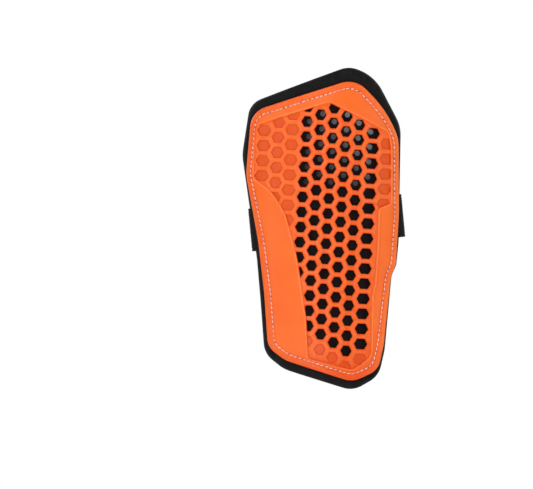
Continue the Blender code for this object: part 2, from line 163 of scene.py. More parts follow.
def rounded(corners, step):
    """The outline through these corners, each rounded, with a point about every step."""
    points = []
    for i, (x, z, radius) in enumerate(corners):
        corner = Vector((x, z))
        before = (Vector(corners[i - 1][:2]) - corner).normalized()
        after = (Vector(corners[(i + 1) % len(corners)][:2]) - corner).normalized()
        half = before.angle(after) / 2
        centre = corner + (before + after).normalized() * radius / math.sin(half)
        start = corner + before * radius / math.tan(half)
        if points:
            points += between(points[-1], start, step)
        arm = start - centre
        turn = arm.angle_signed(corner + after * radius / math.tan(half) - centre)
        chords = max(1, math.ceil(abs(turn) * radius / step))
        for k in range(chords + 1):
            points.append(tuple(centre + Matrix.Rotation(-turn * k / chords, 2) @ arm))
    return points + between(points[-1], Vector(points[0]), step)


def inset(points, distance):
    """The closed clockwise outline moved inwards by this distance."""
    p = np.array(points)
    along = np.roll(p, -1, 0) - np.roll(p, 1, 0)
    inward = np.stack([along[:, 1], -along[:, 0]], 1)
    return p + inward / np.linalg.norm(inward, axis=1)[:, None] * distance


def insets(loops, distances):
    """The points of each loop, moved inwards by each of these distances."""
    return [tuple(p) for loop in loops for d in distances for p in inset(loop, d)]


def signed(points, loop):
    """Distance of each point to the closed loop, positive inside it."""
    points, a = np.asarray(points, float), np.asarray(loop, float)
    b = np.roll(a, -1, 0)
    out = np.empty(len(points))
    for first in range(0, len(points), BATCH):
        p = points[first : first + BATCH, None]
        d = b - a
        t = np.clip(((p - a) * d).sum(2) / (d * d).sum(1), 0, 1)
        far = np.sqrt((((a + t[..., None] * d) - p) ** 2).sum(2)).min(1)
        crosses = (a[:, 1] > p[..., 1]) != (b[:, 1] > p[..., 1])
        with np.errstate(divide="ignore", invalid="ignore"):
            at = a[:, 0] + d[:, 0] * (p[..., 1] - a[:, 1]) / d[:, 1]
        odd = (crosses & (p[..., 0] < at)).sum(1) % 2 == 1
        out[first : first + BATCH] = np.where(odd, far, -far)
    return out


def smooth(low, high, value):
    """0 below low, 1 above high, and an easy curve between."""
    t = np.clip((value - low) / (high - low), 0, 1)
    return t * t * (3 - 2 * t)


def hump(value, middle, width):
    return np.exp(-(((value - middle) / width) ** 2))


def face_y(x, z, depth):
    """Where the curved shell's face is, or a surface this deep behind it."""
    drum = np.sqrt((SHELL_RADIUS - depth) ** 2 - x**2)
    return SHELL_RADIUS - drum - z * z / (2 * FLARE_RADIUS) - PAD_DEPTH


# ---------------------------------------------------------------- the honeycomb
def cell_centre(column, row):
    down = (row + (column % 2) / 2) * ROW_PITCH
    across = column * COLUMN_PITCH
    return (
        CELL_ORIGIN[0] + across * math.cos(CELL_LEAN) - down * math.sin(CELL_LEAN),
        CELL_ORIGIN[1] - across * math.sin(CELL_LEAN) - down * math.cos(CELL_LEAN),
    )


def cell_outline(centre, width):
    """A cell with rounded corners, clockwise."""
    half, flat, tall = width / 2, width / 2 - CELL_HEIGHT * CELL_SLANT, CELL_HEIGHT / 2
    corners = ((-half, 0), (-flat, tall), (flat, tall), (half, 0), (flat, -tall), (-flat, -tall))
    turn = Matrix.Rotation(-CELL_LEAN, 2)
    placed = [Vector(centre) + turn @ Vector(corner) for corner in corners]
    side = CELL_HEIGHT / 1.7
    return rounded([(p.x, p.y, CELL_ROUNDING) for p in placed], side / CELL_SIDE_POINTS)


def clip(loop, limit, halvings=24, closest=0.25, fewest=5, step=1.3):
    """The part of the closed loop inside the limit, or nothing if little is left."""
    kept, loop = [], [tuple(p) for p in loop]
    within = signed(loop, limit) > 0
    for k, (start, end) in enumerate(zip(loop, loop[1:] + loop[:1])):
        here, there = within[k], within[(k + 1) % len(loop)]
        if here:
            kept.append(start)
        if here != there:
            low, high = np.array(start), np.array(end)
            for _ in range(halvings):
                middle = (low + high) / 2
                if (signed([middle], limit)[0] > 0) == here:
                    low = middle
                else:
                    high = middle
            kept.append(tuple(low))
    closed = []
    for point in kept:
        if not closed or math.dist(point, closed[-1]) > closest:
            closed.append(point)
    while len(closed) > 2 and math.dist(closed[0], closed[-1]) < closest:
        closed.pop()
    if len(closed) < fewest:
        return []
    dense = []
    for start, end in zip(closed, closed[1:] + closed[:1]):
        dense += [start] + between(start, end, step)
    return dense


def cells(columns, limit):
    loops = []
    for column, first, last, width, across, above in columns:
        for row in range(first, last + 1):
            x, z = cell_centre(column, row)
            loop = clip(cell_outline((x + across, z + above), width), limit)
            if loop:
                loops.append(loop)
    return loops


def nearest_cell(points, loops, reach=9, beyond=-30.0):
    """Distance to the nearest cell's edge, positive inside a cell."""
    points = np.asarray(points, float)
    best = np.full(len(points), beyond)
    for loop in loops:
        middle = np.mean(loop, axis=0)
        near = np.linalg.norm(points - middle, axis=1) < reach
        if near.any():
            best[near] = np.maximum(best[near], signed(points[near], loop))
    return best


# ---------------------------------------------------------------- sheets of triangles
def layered(outline, holes, layers):
    """A sheet's points: its edges, then each layer's points that keep clear of earlier ones."""
    points = [tuple(p) for loop in [outline, *holes] for p in loop]
    for layer, spacing in layers:
        if not len(layer):
            continue
        tree = KDTree(len(points))
        for k, (x, z) in enumerate(points):
            tree.insert((x, z, 0), k)
        tree.balance()
        inner = signed(layer, outline) > spacing / 2
        fresh = [tuple(p) for p, keep in zip(layer, inner) if keep]
        points += [p for p in fresh if tree.find((*p, 0))[2] > spacing]
    return points


def grid(outline, step):
    """Staggered rows of points over the outline's box."""
    o = np.array(outline)
    (x0, z0), (x1, z1) = o.min(0), o.max(0)
    rows = []
    for j, z in enumerate(np.arange(z0, z1, step * 0.87)):
        for x in np.arange(x0 + step / 2 * (j % 2), x1, step):
            rows.append((x, z))
    return rows


def sheet_of(outline, holes, layers):
    """The points and triangles of a flat sheet less its holes, and each edge's point numbers."""
    if holes:
        layers = [(drop_inside(layer, holes), spacing) for layer, spacing in layers]
    points = layered(outline, holes, layers)
    edges, first, loops = [], 0, [outline, *holes]
    for loop in loops:
        n = len(loop)
        edges += [(first + k, first + (k + 1) % n) for k in range(n)]
        first += n
    found = delaunay_2d_cdt([Vector(p) for p in points], edges, [], 1, 1e-5)
    places = np.array([tuple(v) for v in found[0]])
    triangles = np.array([list(t) for t in found[2]])
    if holes:
        middles = places[triangles].mean(1)
        triangles = triangles[nearest_cell(middles, holes) < 0]
    index = {original: k for k, originals in enumerate(found[3]) for original in originals}
    rings, first = [], 0
    for loop in loops:
        rings.append([index[first + k] for k in range(len(loop))])
        first += len(loop)
    return places, triangles, rings


def drop_inside(layer, holes):
    """The layer's points that lie outside every hole."""
    layer = np.asarray(layer, float)
    return layer[nearest_cell(layer, holes) < -0.05] if len(layer) else layer


# ---------------------------------------------------------------- meshes and objects
def linked(name, data):
    """A new object of this data, in the scene."""
    obj = bpy.data.objects.new(name, data)
    bpy.context.scene.collection.objects.link(obj)
    return obj


def shaded(name, mesh, sharp=180):
    """A smooth object of this mesh, with an edge wherever it bends by more degrees than this."""
    mesh.shade_smooth()
    mesh.set_sharp_from_angle(angle=math.radians(sharp))
    return linked(name, mesh)


def turn_outwards(mesh):
    """Turns the faces outwards."""
    held = bmesh.new()
    held.from_mesh(mesh)
    bmesh.ops.recalc_face_normals(held, faces=held.faces[:])
    held.to_mesh(mesh)
    held.free()


def give_uvs(mesh, name, uvs):
    """A UV map with these places for the vertices."""
    layer = mesh.uv_layers.new(name=name)
    for loop in mesh.loops:
        layer.data[loop.index].uv = uvs[loop.vertex_index]


def path_lengths(path):
    """How far along the path each of its points lies."""
    return np.concatenate([[0], np.cumsum(np.linalg.norm(np.diff(path, axis=0), axis=1))])


class Solid:
    """A closed mesh made of sheets and of walls between their rings."""

    def __init__(self):
        self.vertices, self.faces, self.slots, self.start = [], [], [], 0

    def sheet(self, places, triangles, y, flip, slot=0):
        first = self.start
        x, z = places[:, 0], places[:, 1]
        self.vertices.append(np.stack([x, y, z], 1))
        order = triangles[:, ::-1] if flip else triangles
        self.faces += (order + first).tolist()
        self.slots += [slot] * len(order)
        self.start += len(places)
        return first

    def ring(self, loop, y):
        """A further ring of points, for a rounded wall."""
        loop = np.asarray(loop)
        first = self.start
        self.vertices.append(np.stack([loop[:, 0], y, loop[:, 1]], 1))
        self.start += len(loop)
        return list(range(first, first + len(loop)))

    def wall(self, front, back):
        n = len(front)
        for k in range(n):
            after = (k + 1) % n
            self.faces.append([front[k], front[after], back[after], back[k]])
            self.slots.append(0)

    def make(self, name, materials, attributes=None, sharp=60):
        mesh = bpy.data.meshes.new(name)
        mesh.from_pydata((np.concatenate(self.vertices) * MM).tolist(), [], self.faces)
        for one in materials:
            mesh.materials.append(one)
        mesh.polygons.foreach_set("material_index", self.slots)
        for key, values in (attributes or {}).items():
            made = mesh.attributes.new(key, "FLOAT", "POINT")
            full = np.zeros(len(mesh.vertices), np.float32)
            full[: len(values)] = values
            made.data.foreach_set("value", full)
        return shaded(name, mesh, sharp)


# ---------------------------------------------------------------- materials
class Nodes:
    """A small helper that adds linked shader nodes."""

    def __init__(self, name):
        self.material = bpy.data.materials.new(name)
        self.material.use_nodes = True
        self.tree = self.material.node_tree
        self.shader = self.tree.nodes["Principled BSDF"]
        self.object = self.add("ShaderNodeTexCoord").outputs["Object"]

    def add(self, kind, values=None, **settings):
        node = self.tree.nodes.new(kind)
        for key, value in settings.items():
            setattr(node, key, value)
        for key, value in (values or {}).items():
            if isinstance(value, bpy.types.NodeSocket):
                self.tree.links.new(value, node.inputs[key])
            else:
                node.inputs[key].default_value = value
        return node

    def set(self, **values):
        for key, value in values.items():
            socket = self.shader.inputs[key.replace("_", " ")]
            if isinstance(value, bpy.types.NodeSocket):
                self.tree.links.new(value, socket)
            else:
                socket.default_value = value

    def noise(self, scale, detail, vector=None):
        values = {"Vector": vector or self.object, "Scale": scale, "Detail": detail}
        return self.add("ShaderNodeTexNoise", values).outputs["Fac"]

    def wave(self, scale, direction, vector, distortion):
        values = {"Vector": vector, "Scale": scale, "Distortion": distortion}
        return self.add("ShaderNodeTexWave", values, bands_direction=direction).outputs["Fac"]

    def span(self, value, low, high, to_low, to_high):
        names = ("Value", "From Min", "From Max", "To Min", "To Max")
        values = dict(zip(names, (value, low, high, to_low, to_high)))
        return self.add("ShaderNodeMapRange", values).outputs["Result"]

    def math(self, operation, a, b):
        return self.add("ShaderNodeMath", {0: a, 1: b}, operation=operation).outputs[0]

    def mix(self, factor, a, b):
        node = self.add("ShaderNodeMix", data_type="RGBA")
        for key, value in ((0, factor), (6, a), (7, b)):
            if isinstance(value, bpy.types.NodeSocket):
                self.tree.links.new(value, node.inputs[key])
            else:
                node.inputs[key].default_value = value if key == 0 else (*value, 1)
        return node.outputs[2]

    def bump(self, height, distance, strength, normal=None):
        values = {"Height": height, "Distance": distance, "Strength": strength}
        if normal:
            values["Normal"] = normal
        return self.add("ShaderNodeBump", values).outputs["Normal"]

    def attribute(self, name):
        return self.add("ShaderNodeAttribute", attribute_name=name).outputs["Fac"]


def shell_plastic(name, glow):
    """Moulded plastic. The glow stands for the light that comes through it, seen on its back."""
    n = Nodes(name)
    cloud = n.noise(38, 2)
    grain = n.noise(1700, 2)
    base = n.mix(n.span(cloud, 0.35, 0.65, 0, 1), (0.73, 0.118, 0.008), (0.77, 0.136, 0.012))
    # Painted highlight: the crests are mixed paler, with a little noise.
    crest_highlight = n.math("MULTIPLY", n.attribute("crest"), n.span(n.noise(420, 4), 0.3, 0.7, 0.55, 1))
    base = n.mix(crest_highlight, base, (0.86, 0.215, 0.05))
    # Painted shade: a deeper orange where deep is high.
    base = n.mix(n.attribute("deep"), base, (0.62, 0.062, 0.001))
    speck = n.span(n.noise(900, 1), 0.72, 0.8, 0, 0.35)
    base = n.mix(speck, base, (0.79, 0.18, 0.035))
    rough = n.span(n.noise(120, 3), 0.3, 0.7, 0.34, 0.48)
    n.set(Base_Color=base, Roughness=rough, Specular_IOR_Level=0.22)
    n.set(Normal=n.bump(grain, 0.00005, 0.5, n.bump(n.noise(160, 2), 0.0002, 0.25)))
    n.set(Emission_Color=(0.9, 0.085, 0.006, 1), Emission_Strength=glow)
    n.set(Subsurface_Weight=0.6, Subsurface_Radius=(1.0, 0.22, 0.05), Subsurface_Scale=0.003)
    return n.material


def black_foam():
    """Closed-cell foam with a fine skin."""
    n = Nodes("black_foam")
    skin = n.add("ShaderNodeTexVoronoi", {"Vector": n.object, "Scale": 1500.0}).outputs["Distance"]
    patches = n.span(n.noise(90, 4), 0.35, 0.7, 0, 1)
    base = n.mix(patches, (0.003, 0.003, 0.0033), (0.0056, 0.0055, 0.0058))
    rough = n.span(n.noise(300, 2), 0.3, 0.7, 0.75, 0.95)
    n.set(Base_Color=base, Roughness=rough, Specular_IOR_Level=0.16)
    n.set(Normal=n.bump(skin, 0.00006, 0.5, n.bump(n.noise(500, 4), 0.00012, 0.5)))
    return n.material


def knit(name, low, high, sheen):
    """A fine knit: two crossed ribs of loops, with fuzz."""
    n = Nodes(name)
    turned = n.add(
        "ShaderNodeMapping", {"Vector": n.object, "Rotation": (0, math.radians(-14), 0)}
    ).outputs["Vector"]
    rows = n.wave(430, "X", turned, 0.6)
    wales = n.wave(560, "Z", turned, 0.6)
    loops = n.math("MULTIPLY", rows, wales)
    fuzz = n.noise(2600, 3)
    base = n.mix(n.span(n.noise(70, 5), 0.3, 0.7, 0, 1), low, high)
    base = n.mix(n.span(fuzz, 0.62, 0.8, 0, 0.5), base, tuple(2.4 * c for c in high))
    # Painted shade: darker where deep is high, in the dimples round the vents.
    base = n.mix(n.attribute("deep"), base, tuple(0.4 * c for c in low))
    n.set(Base_Color=base, Roughness=0.92, Specular_IOR_Level=0.1)
    n.set(Sheen_Weight=sheen, Sheen_Roughness=0.5, Sheen_Tint=(0.7, 0.8, 0.9, 1))
    n.set(Normal=n.bump(fuzz, 0.0001, 0.35, n.bump(loops, 0.00016, 0.75)))
    return n.material


def lining_inside():
    """The lining's paler inner face, seen through the pockets. It is painted light: paler higher
    up and towards +x, darker towards the lower inner side, standing in for the light seen through
    the vents.
    """
    n = Nodes("lining_inside")
    place = n.add("ShaderNodeSeparateXYZ", {"Vector": n.object})
    rise = n.math("ADD", place.outputs["X"], n.math("MULTIPLY", place.outputs["Z"], 0.6))
    base = n.mix(n.span(rise, 0.01, 0.044, 0, 1), (0.06, 0.042, 0.047), (0.17, 0.175, 0.2))
    base = n.mix(n.span(rise, 0.046, 0.066, 0, 1), base, (0.44, 0.53, 0.58))
    base = n.mix(n.span(n.noise(1500, 2), 0.45, 0.75, 0, 0.3), base, (0.14, 0.14, 0.15))
    n.set(Base_Color=base, Roughness=0.9, Specular_IOR_Level=0.1)
    n.set(Normal=n.bump(n.noise(2600, 3), 0.0001, 0.5))
    return n.material


def elastic():
    """Woven elastic: its ribs are in the mesh, and its cross threads run across the UV map."""
    n = Nodes("black_elastic")
    uv = n.add("ShaderNodeUVMap", uv_map="weave").outputs["UV"]
    picks = n.wave(0.62, "X", uv, 0.4)
    warp = n.wave(0.9, "Y", uv, 0.5)
    weave = n.math("ADD", n.math("MULTIPLY", picks, 0.7), n.math("MULTIPLY", warp, 0.3))
    # Painted highlight where crest is high, on the ribs' tops and selvedges; painted shade in the
    # grooves.
    light = n.math("MULTIPLY", n.attribute("crest"), n.span(picks, 0.2, 0.9, 0.35, 1))
    base = n.mix(light, (0.0015, 0.0015, 0.0018), (0.0072, 0.0076, 0.0088))
    base = n.mix(n.span(n.noise(1.2, 4, uv), 0.62, 0.8, 0, 0.35), base, (0.015, 0.016, 0.018))
    n.set(Base_Color=base, Roughness=0.8, Specular_IOR_Level=0.14)
    n.set(Sheen_Weight=0.02, Sheen_Roughness=0.4)
    n.set(Normal=n.bump(n.noise(5, 2, uv), 0.00005, 0.3, n.bump(weave, 0.00013, 0.7)))
    return n.material


def hook_tape():
    """Rows of small hooks."""
    n = Nodes("black_hooks")
    dots = n.add("ShaderNodeTexVoronoi", {"Vector": n.object, "Scale": 1300.0, "Randomness": 0.35})
    # Painted highlight on the hooks' tops, and painted shade between them.
    height = n.span(dots.outputs["Distance"], 0.0, 0.6, 1, 0)
    base = n.mix(height, (0.002, 0.002, 0.0022), (0.011, 0.011, 0.012))
    n.set(Base_Color=base, Roughness=0.55, Specular_IOR_Level=0.25)
    n.set(Normal=n.bump(height, 0.0002, 0.7))
    return n.material


def thread(name, light, dark, spec):
    """Two-ply thread: the twist runs slantwise round each stitch."""
    n = Nodes(name)
    uv = n.add("ShaderNodeUVMap", uv_map="twist").outputs["UV"]
    ply = n.wave(0.75, "DIAGONAL", uv, 0.3)
    base = n.mix(ply, dark, light)
    base = n.mix(n.attribute("tint"), base, tuple(c * t for c, t in zip(dark, (0.8, 0.45, 0.5))))
    n.set(Base_Color=base, Roughness=n.span(ply, 0, 1, 0.65, 0.45), Specular_IOR_Level=spec)
    n.set(Normal=n.bump(ply, 0.00012, 0.6))
    return n.material


ORANGE = shell_plastic("shell_plastic", 0.0)
ORANGE_BACK = shell_plastic("shell_plastic_back", 0.5)
FOAM, HOOKS, ELASTIC = black_foam(), hook_tape(), elastic()
KNIT = knit("black_lining", (0.0036, 0.0041, 0.005), (0.0075, 0.0083, 0.0098), 0.035)
INSIDE = lining_inside()
PALE = thread("pale_thread", (0.92, 0.70, 0.69), (0.82, 0.36, 0.32), 0.3)
DARK = thread("dark_thread", (0.016, 0.016, 0.017), (0.004, 0.004, 0.0045), 0.2)
# Dark thread pieces that stand for painted shade in the needle holes.
SHADED = thread("shaded_thread", (0.26, 0.03, 0.05), (0.1, 0.01, 0.02), 0.1)


# ---------------------------------------------------------------- shell
FIELD = rounded(FIELD_OUTLINE, 1.2)
CELL_LIMIT = insets([FIELD], [CELL_MARGIN])
OPEN_CELLS = cells(OPEN_COLUMNS, CELL_LIMIT)
BLIND_CELLS = cells(BLIND_COLUMNS, CELL_LIMIT)
GATE = cell_centre(2, 14)


def stitch_line(step):
    """The run of thread round the shell, nearer the edge where the sides turn back."""
    edge = np.array(rounded(SHELL_OUTLINE, step))
    outer, inner = inset(edge, SIDE_INSET), inset(edge, STITCH_INSET)
    share = np.clip((np.abs(outer[:, 0]) - SIDE_START) / (SIDE_FULL - SIDE_START), 0, 1)[:, None]
    return inner * (1 - share) + outer * share


def shell_profile(p):
    """How deep each point of the shell's face lies, and how much it is crest or recess."""
    edge, field = signed(p, rounded(SHELL_OUTLINE, 1.5)), signed(p, FIELD)
    thread_gap = np.abs(signed(p, stitch_line(1.2)))
    opened, blind = nearest_cell(p, OPEN_CELLS), nearest_cell(p, BLIND_CELLS)
    near = np.clip(SHELL_ROUND - edge, 0, SHELL_ROUND)
    depth = SHELL_ROUND - np.sqrt(SHELL_ROUND**2 - near**2)
    depth += THREAD_SINK * hump(thread_gap, 0, THREAD_WIDTH)
    depth -= SWELL_RISE * hump(thread_gap, SWELL_PLACE, SWELL_WIDTH)
    bead = hump(field, BEAD_PLACE, BEAD_WIDTH)
    depth -= BEAD_RISE * bead
    within = smooth(-0.25, 0.45, field)
    depth += FIELD_SINK * within
    web = np.clip(-np.maximum(opened, blind), 0, WEB_REACH)
    depth -= WEB_RISE * within * smooth(0.1, 1.6, web)
    rolled = np.clip(opened + LIP, 0, LIP)
    depth += LIP - np.sqrt(LIP**2 - rolled**2)
    sunk = smooth(-0.2, 0.25, blind)
    depth += BLIND_SINK * sunk
    gate = np.linalg.norm(p - np.array(GATE), axis=1)
    depth -= GATE_RISE * hump(gate, GATE_RADIUS, GATE_WIDTH) * sunk
    # Painted highlights make the crests paler: the bead, the middle of each web, the edge and the
    # blind cells' rims.
    crest = bead + 0.85 * within * smooth(0.8, 1.5, web) * (web < 2.1)
    crest += 0.5 * hump(edge, 0.8, 0.6)
    rim = hump(blind, -0.35, 0.25) * 0.5 * within
    # Painted shade, a deeper orange, in the hollows: the cells' edges, the thread's channel, the
    # field and the blind cells, towards the bottom, and along the border but less on the right
    # side.
    deep = hump(opened, 0.05, 0.4) + 0.55 * hump(field, 0.15, 0.35)
    deep += 0.55 * hump(blind, 0.15, 0.22) * within
    deep += 0.4 * sunk + 0.35 * hump(thread_gap, 0, 0.9)
    deep += 0.42 * within + 0.4 * smooth(75, 105, -p[:, 1])
    deep += 0.45 * (1 - smooth(1.5, 4.5, edge)) * (1 - smooth(20, 45, p[:, 0]))
    return depth, np.clip(crest + rim, 0, 1), np.clip(deep, 0, 1)


def make_shell():
    outline = rounded(SHELL_OUTLINE, 1.3)
    around_gate = np.arange(0, math.tau, math.tau / 16)
    gate = [
        (GATE[0] + r * math.cos(a), GATE[1] + r * math.sin(a))
        for r in (0.5, 1.0, 1.35, 1.7, 2.05, 2.4)
        for a in around_gate
    ]
    layers = [
        (insets([outline], (0.12, 0.4, 0.75, 1.1)), 0.1),
        (insets(OPEN_CELLS, (-0.14, -0.32, -0.58)), 0.1),
        (insets(BLIND_CELLS, (-0.45, -0.2, 0.02, 0.25, 0.55)), 0.12),
        (insets([FIELD], (-1.2, -0.85, -0.55, -0.25, 0.1, 0.45)), 0.18),
        (insets([stitch_line(1.3)], (-1.6, -0.9, -0.45, 0, 0.45, 0.9, 1.6)), 0.3),
        (gate, 0.15),
        (grid(outline, 1.5), 0.75),
    ]
    places, triangles, rings = sheet_of(outline, OPEN_CELLS, layers)
    depth, crest, deep = shell_profile(places)
    solid = Solid()
    solid.sheet(places, triangles, face_y(*places.T, depth), False)
    narrow = [insets([cell], [HOLE_DRAFT]) for cell in OPEN_CELLS]
    back_layers = [(grid(outline, 3.5), 1.6)]
    back_places, back_triangles, back_rings = sheet_of(outline, narrow, back_layers)
    back_y = face_y(*back_places.T, SHELL_BACK)
    start = solid.sheet(back_places, back_triangles, back_y, True, slot=1)
    for ring, back in zip(rings, back_rings):
        solid.wall(ring[::-1], [start + k for k in back[::-1]])
    # The holes' walls get painted shade: their back rings are marked fully deep.
    wall_deep = np.zeros(len(back_places))
    wall_deep[[k for ring in back_rings[1:] for k in ring]] = 1.0
    tones = {"crest": crest, "deep": np.concatenate([deep, wall_deep])}
    return solid.make("shell_detail", [ORANGE, ORANGE_BACK], tones)


# ---------------------------------------------------------------- pad and lining
def circle(centre, radius, count=14):
    turns = np.arange(count) * -math.tau / count
    return [(centre[0] + radius * math.cos(a), centre[1] + radius * math.sin(a)) for a in turns]


def vent_places():
    """Each vent lies behind the web where three cells meet, up and to the left of its own cell."""
    places = []
    for column, first, last, _, _, _ in OPEN_COLUMNS:
        for row in range(first + 1, last + 1):
            beside = (column - 1, row if column % 2 else row - 1)
            three = (cell_centre(column, row), cell_centre(column, row - 1), cell_centre(*beside))
            places.append(tuple(np.mean(three, axis=0)))
    return places


def pocket_places():
    """Round pockets of the foam behind the upper open cells, down to the lining's inner face."""
    places = []
    for column, first, last, _, _, _ in OPEN_COLUMNS:
        across, above = POCKET_SHIFTS[column]
        for row in range(first + (column in POCKET_LATE), last + 1):
            x, z = cell_centre(column, row)
            if z > POCKET_LOWEST:
                places.append((x + across, z + above))
    return places


VENTS, POCKETS = vent_places(), pocket_places()


def nearest_vent(p):
    """Distance of each point to the nearest vent's middle."""
    tree = KDTree(len(VENTS))
    for k, (x, z) in enumerate(VENTS):
        tree.insert((x, z, 0), k)
    tree.balance()
    return np.array([tree.find((x, z, 0))[2] for x, z in p])


def dimpled(p):
    """1 at a vent, falling to 0 round it."""
    return 1 - smooth(VENT_RADIUS - 0.1, DIMPLE_RADIUS, nearest_vent(p))


def pad_back(p, rim, rise):
    """Depth of the pad's back: a rim and a raised panel."""
    return rim + rise * smooth(-0.6, 1.6, signed(p, rounded(PANEL_OUTLINE, 1.5)))


def lining_cut(p):
    """How far the lining's back is pressed in, round the panel, at each vent and along the rim."""
    edge, panel = signed(p, rounded(PAD_OUTLINE, 1.5)), signed(p, rounded(PANEL_OUTLINE, 1.5))
    channel = CHANNEL_DEPTH * hump(panel, CHANNEL_PLACE, CHANNEL_WIDTH)
    crease = CREASE_DEPTH * hump(edge, CREASE_PLACE, CREASE_WIDTH)
    return np.maximum(channel, DIMPLE_DEPTH * dimpled(p)) + crease


def make_pad():
    outline = rounded(PAD_OUTLINE, 1.6)
    pockets = [circle(place, POCKET_RADIUS) for place in POCKETS]
    holes = [circle(place, VENT_FRONT_RADIUS) for place in VENTS] + pockets
    back_holes = [circle(place, VENT_RADIUS) for place in VENTS] + pockets
    recess = insets([rounded(FIELD_OUTLINE, 2.0)], [-0.6])
    shell_edge = rounded(SHELL_OUTLINE, 1.5)
    layers = [
        (insets([outline], (0.2, 0.6, 1.1, 1.7, 2.4, 3.2)), 0.3),
        (insets([recess], (-0.12, 0.12)), 0.08),
        (insets([shell_edge], (-3.2, -2.2, -1.2, -0.5, 0.3)), 0.5),
        (grid(outline, 3.0), 1.4),
    ]
    places, triangles, rings = sheet_of(outline, holes, layers)
    edge, out = signed(places, outline), -signed(places, shell_edge)
    near = np.clip(RIM_ROUND - edge, 0, RIM_ROUND)
    depth = FOAM_FRONT + RIM_ROUND - np.sqrt(RIM_ROUND**2 - near**2)
    depth -= RIM_RISE * smooth(0.2, 2.6, out)
    depth = np.where(signed(places, recess) > 0, CAVITY_DEPTH, depth)
    solid = Solid()
    solid.sheet(places, triangles, face_y(*places.T, depth), False)
    back_layers = [(rounded(PANEL_OUTLINE, 2), 0.6), (grid(outline, 3.5), 1.5)]
    back_places, back_triangles, back_rings = sheet_of(outline, back_holes, back_layers)
    back_depth = pad_back(back_places, FOAM_RIM_BACK, PANEL_RISE - 0.3)
    back_y = face_y(*back_places.T, back_depth)
    start = solid.sheet(back_places, back_triangles, back_y, True)
    # The rim bulges a little past its outline.
    loop = np.array(outline)
    wall = [rings[0]]
    front_y = face_y(*loop.T, FOAM_FRONT + RIM_ROUND - RIM_RISE)
    back_y = face_y(*loop.T, FOAM_RIM_BACK)
    for share, bulge in RIM_BULGE:
        wall.append(solid.ring(inset(outline, -bulge), front_y + (back_y - front_y) * share))
    wall.append([start + k for k in back_rings[0]])
    for ring, after in zip(wall, wall[1:]):
        solid.wall(ring[::-1], after[::-1])
    for ring, back in zip(rings[1:], back_rings[1:]):
        solid.wall(ring[::-1], [start + k for k in back[::-1]])
    return solid.make("foam_pad_detail", [FOAM])


def make_lining():
    outline = insets([rounded(PAD_OUTLINE, 1.6)], [-0.1])
    panel = rounded(PANEL_OUTLINE, 1.5)
    holes = [circle(v, VENT_RADIUS) for v in VENTS]
    layers = [
        ([p for v in VENTS for r in (2.45, 2.9, 3.35, 3.8) for p in circle(v, r, 16)], 0.25),
        (insets([outline], (0.25, 0.6, 1.1)), 0.2),
        (insets([panel], (-2.4, -1.7, -1.3, -0.9, -0.4, 0.2, 0.9, 1.7)), 0.3),
        (insets([outline], (2.6, 3.0, 3.4, 3.8, 4.3)), 0.25),
        (grid(outline, 2.2), 1.1),
    ]
    places, triangles, rings = sheet_of(outline, holes, layers)
    depth = pad_back(places, LINING_BACK, PANEL_RISE) - lining_cut(places)
    edge = signed(places, outline)
    near = np.clip(LINING_ROUND - edge, 0, LINING_ROUND)
    depth -= LINING_ROUND_SHARE * (LINING_ROUND - np.sqrt(LINING_ROUND**2 - near**2))
    solid = Solid()
    solid.sheet(places, triangles, face_y(*places.T, depth), True)
    bend = insets([panel], (-0.6, 0, 0.5, 1.1, 1.7))
    front_layers = [(bend, 0.3), (grid(outline, 3.5), 1.5)]
    front_places, front_triangles, front_rings = sheet_of(outline, holes, front_layers)
    front_depth = pad_back(front_places, LINING_FRONT - 0.05, PANEL_RISE)
    front_y = face_y(*front_places.T, front_depth)
    start = solid.sheet(front_places, front_triangles, front_y, False, slot=1)
    for ring, front in zip(rings, front_rings):
        solid.wall(ring, [start + k for k in front])
    # deep marks the dimples round the vents, for painted shade there.
    return solid.make("lining_detail", [KNIT, INSIDE], {"deep": dimpled(places)})


# ---------------------------------------------------------------- webbing
ALONG = np.array([math.cos(STRAP_RISE), math.sin(STRAP_RISE)])
OVER = np.array([-ALONG[1], ALONG[0]])


def place(s, v):
    """x and z of a place along and across the webbing."""
    return np.array([0, STRAP_HEIGHT]) + ALONG * s + OVER * v


def spot3(s, y, v=0.0):
    """A point of the webbing, in metres."""
    x, z = place(s, v)
    return (x * MM, y * MM, z * MM)


def corner_path(corners, radius, step):
    """Points along a line of corners (s, y), each inner one rounded."""
    path = [np.array(corners[0], float)]
    for before, corner, after in zip(corners, corners[1:], corners[2:]):
        a, c, b = (np.array(p, float) for p in (before, corner, after))
        u, w = (a - c) / np.linalg.norm(a - c), (b - c) / np.linalg.norm(b - c)
        reach = min(radius, 0.49 * np.linalg.norm(a - c), 0.49 * np.linalg.norm(b - c))
        start, end = c + u * reach, c + w * reach
        path += divide(path[-1], start, step)
        for t in np.linspace(0, 1, 9)[1:]:
            path.append((1 - t) ** 2 * start + 2 * t * (1 - t) * c + t * t * end)
    path += divide(path[-1], np.array(corners[-1], float), step)
    return np.array(path)


def divide(start, end, step):
    count = max(1, math.ceil(np.linalg.norm(end - start) / step))
    return [start + (end - start) * k / count for k in range(1, count + 1)]


